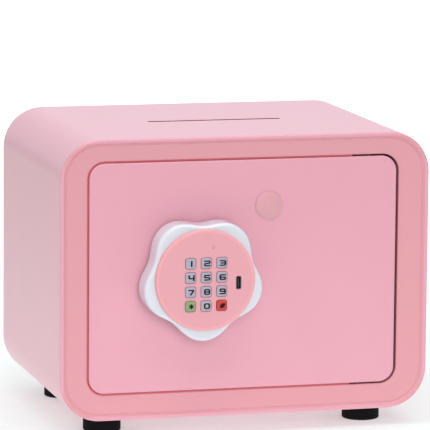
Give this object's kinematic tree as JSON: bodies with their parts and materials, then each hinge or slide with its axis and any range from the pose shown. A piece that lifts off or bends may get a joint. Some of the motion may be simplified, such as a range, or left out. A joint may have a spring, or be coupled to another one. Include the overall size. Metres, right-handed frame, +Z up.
{
  "type": "toy safe coin bank",
  "caption": "Small rounded steel safe for coins and notes, with a slotted top, a hinged door, a petal keypad knob, locking bolts and rubber feet.",
  "frame": {"origin": "on the surface that the feet stand on, under the middle of the whole object, knob included", "axes": "+X to the right seen from the front, +Y to the back, +Z up; the door and knob face -Y"},
  "size_m": [0.23, 0.1832, 0.1815],
  "materials": {
    "pink_paint": "satin pink powder coat",
    "pink_plastic": "satin pink plastic",
    "white_plastic": "gloss white plastic",
    "grey_key": "satin grey plastic",
    "green_key": "satin green plastic",
    "red_key": "satin red plastic",
    "black_plastic": "matt black plastic",
    "black_rubber": "matt black rubber",
    "steel": "zinc plated steel",
    "brass": "plain brass",
    "circuit_green": "green solder mask",
    "felt": "grey felt",
    "cell_wrap": "dark printed wrap without marks"
  },
  "bodies": {
    "safe_body": {"body_shell": "pink_paint", "back_panel": "pink_paint", "front_frame": "pink_paint", "floor_mat": "felt", "foot_front_left": "black_rubber", "foot_front_right": "black_rubber", "foot_rear_left": "black_rubber", "foot_rear_right": "black_rubber", "foot_screw_front_left": "steel", "foot_screw_front_right": "steel", "foot_screw_rear_left": "steel", "foot_screw_rear_right": "steel"},
    "door": {"door_plate": "pink_paint", "door_pan": "pink_paint", "hinge_pin_top": "steel", "hinge_pin_bottom": "steel", "lock_barrel": "steel", "solenoid": "steel", "plunger_spring": "steel", "battery_tray": "black_plastic", "battery_1": "cell_wrap", "battery_2": "cell_wrap", "battery_3": "cell_wrap", "battery_4": "cell_wrap", "lock_board": "circuit_green", "inner_cover": "white_plastic", "cover_screw_upper_left": "steel", "cover_screw_upper_right": "steel", "cover_screw_lower_left": "steel", "cover_screw_lower_right": "steel"},
    "knob": {"spindle": "steel", "drive_cam": "steel", "petal_wheel": "white_plastic", "keypad_housing": "pink_plastic", "keypad_board": "circuit_green", "usb_port": "steel"},
    "bolt_work": {"bolt_slide": "steel", "bolt_upper": "steel", "bolt_lower": "steel"},
    "key_lock": {"lock_plug": "brass", "lock_flag": "steel"},
    "plunger_body": {"plunger": "steel"},
    "keyhole_cap": {"keyhole_cover": "pink_plastic"},
    "reset": {"reset_button": "red_key"},
    "lid": {"battery_lid": "white_plastic"},
    "button_1": {"key_1": "grey_key"},
    "button_2": {"key_2": "grey_key"},
    "button_3": {"key_3": "grey_key"},
    "button_4": {"key_4": "grey_key"},
    "button_5": {"key_5": "grey_key"},
    "button_6": {"key_6": "grey_key"},
    "button_7": {"key_7": "grey_key"},
    "button_8": {"key_8": "grey_key"},
    "button_9": {"key_9": "grey_key"},
    "button_star": {"key_star": "green_key"},
    "button_0": {"key_0": "grey_key"},
    "button_hash": {"key_hash": "red_key"}
  },
  "joints": [
    {"name": "door_swing", "type": "hinge", "parent": "safe_body", "child": "door", "pos_m": [0.0784, -0.06295, 0.09805], "axis": [0, 0, 1], "range_deg": [0, 110]},
    {"name": "knob_turn", "type": "hinge", "parent": "door", "child": "knob", "pos_m": [-0.0308, -0.06945, 0.09805], "axis": [0, -1, 0], "range_deg": [0, 72]},
    {"name": "bolt_throw", "type": "slide", "parent": "door", "child": "bolt_work", "axis": [-1, 0, 0], "range_m": [0, 0.0142]},
    {"name": "key_turn", "type": "hinge", "parent": "door", "child": "key_lock", "pos_m": [0.014, -0.06945, 0.1389], "axis": [0, 1, 0], "range_deg": [0, 90]},
    {"name": "plunger_lift", "type": "slide", "parent": "door", "child": "plunger_body", "axis": [0, 0, 1], "range_m": [0, 0.0021], "deforming": ["plunger_spring"]},
    {"name": "keyhole_cover_pull", "type": "slide", "parent": "door", "child": "keyhole_cap", "axis": [0, -1, 0], "range_m": [0, 0.025]},
    {"name": "reset_press", "type": "slide", "parent": "door", "child": "reset", "axis": [0, -1, 0], "range_m": [0, 0.001], "stiffness_N_per_m": 300, "springref_m": -0.0005},
    {"name": "battery_lid_pull", "type": "slide", "parent": "door", "child": "lid", "axis": [0, 1, 0], "range_m": [0, 0.03]},
    {"name": "key_1_press", "type": "slide", "parent": "knob", "child": "button_1", "axis": [0, 1, 0], "range_m": [0, 0.0008], "stiffness_N_per_m": 300, "springref_m": -0.0005},
    {"name": "key_2_press", "type": "slide", "parent": "knob", "child": "button_2", "axis": [0, 1, 0], "range_m": [0, 0.0008], "stiffness_N_per_m": 300, "springref_m": -0.0005},
    {"name": "key_3_press", "type": "slide", "parent": "knob", "child": "button_3", "axis": [0, 1, 0], "range_m": [0, 0.0008], "stiffness_N_per_m": 300, "springref_m": -0.0005},
    {"name": "key_4_press", "type": "slide", "parent": "knob", "child": "button_4", "axis": [0, 1, 0], "range_m": [0, 0.0008], "stiffness_N_per_m": 300, "springref_m": -0.0005},
    {"name": "key_5_press", "type": "slide", "parent": "knob", "child": "button_5", "axis": [0, 1, 0], "range_m": [0, 0.0008], "stiffness_N_per_m": 300, "springref_m": -0.0005},
    {"name": "key_6_press", "type": "slide", "parent": "knob", "child": "button_6", "axis": [0, 1, 0], "range_m": [0, 0.0008], "stiffness_N_per_m": 300, "springref_m": -0.0005},
    {"name": "key_7_press", "type": "slide", "parent": "knob", "child": "button_7", "axis": [0, 1, 0], "range_m": [0, 0.0008], "stiffness_N_per_m": 300, "springref_m": -0.0005},
    {"name": "key_8_press", "type": "slide", "parent": "knob", "child": "button_8", "axis": [0, 1, 0], "range_m": [0, 0.0008], "stiffness_N_per_m": 300, "springref_m": -0.0005},
    {"name": "key_9_press", "type": "slide", "parent": "knob", "child": "button_9", "axis": [0, 1, 0], "range_m": [0, 0.0008], "stiffness_N_per_m": 300, "springref_m": -0.0005},
    {"name": "key_star_press", "type": "slide", "parent": "knob", "child": "button_star", "axis": [0, 1, 0], "range_m": [0, 0.0008], "stiffness_N_per_m": 300, "springref_m": -0.0005},
    {"name": "key_0_press", "type": "slide", "parent": "knob", "child": "button_0", "axis": [0, 1, 0], "range_m": [0, 0.0008], "stiffness_N_per_m": 300, "springref_m": -0.0005},
    {"name": "key_hash_press", "type": "slide", "parent": "knob", "child": "button_hash", "axis": [0, 1, 0], "range_m": [0, 0.0008], "stiffness_N_per_m": 300, "springref_m": -0.0005}
  ],
  "couplings": [
    {"joint": "bolt_throw", "follows": "knob_turn", "m_per_rad": 0.011226},
    {"joint": "plunger_lift", "follows": "key_turn", "m_per_rad": 0.0012732}
  ]
}
